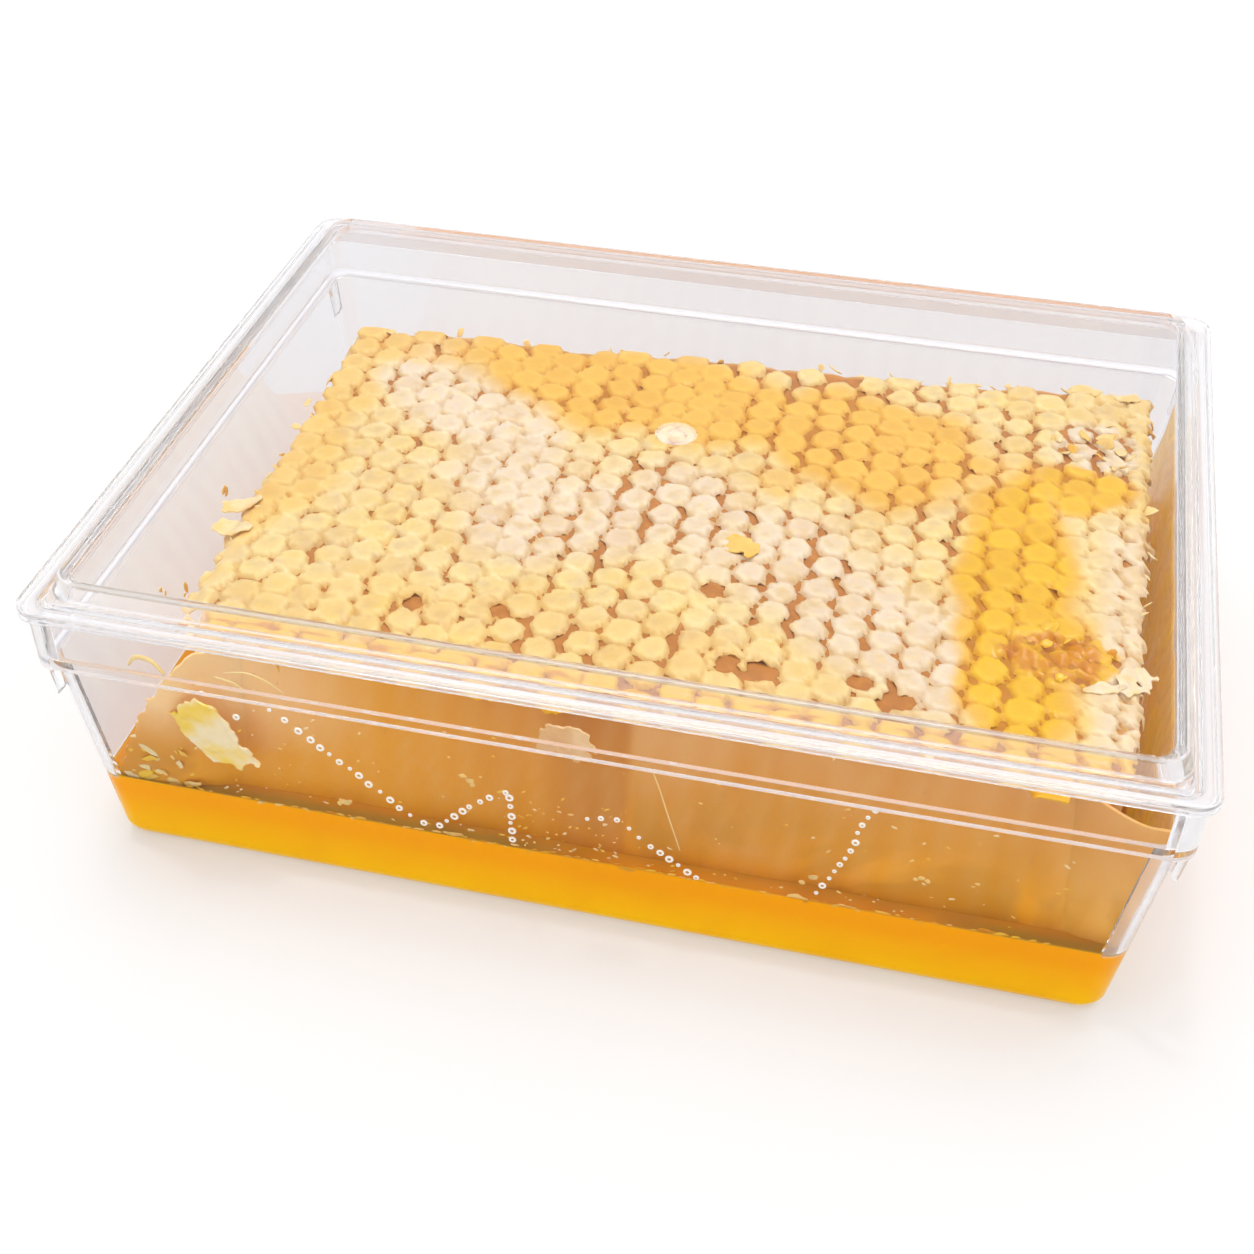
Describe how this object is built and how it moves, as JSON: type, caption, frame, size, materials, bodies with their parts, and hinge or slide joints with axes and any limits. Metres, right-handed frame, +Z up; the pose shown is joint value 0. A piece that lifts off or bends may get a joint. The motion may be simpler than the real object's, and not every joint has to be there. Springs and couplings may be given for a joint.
{
  "type": "boxed honeycomb piece",
  "caption": "Thick rectangular slab of capped honeycomb standing in its own liquid honey inside a shut, clear plastic box with a raised lid.",
  "frame": {"origin": "middle of the box's footprint, on the plane that it stands on", "axes": "+X along the box's long side, -Y towards the long side with the loose wax, +Z up"},
  "size_m": [0.152, 0.118, 0.0466],
  "materials": {
    "clear_plastic": "clear, glossy moulded polystyrene",
    "capped_wax": "pale beeswax cappings over honey, satin",
    "liquid_honey": "clear amber honey, wet gloss",
    "pale_wax": "thin pale beeswax, satin"
  },
  "bodies": {
    "root": {"tray": "clear_plastic", "lid": "clear_plastic", "comb": "capped_wax", "honey": "liquid_honey", "wax_flake": "pale_wax", "wax_fold": "pale_wax"}
  },
  "joints": []
}
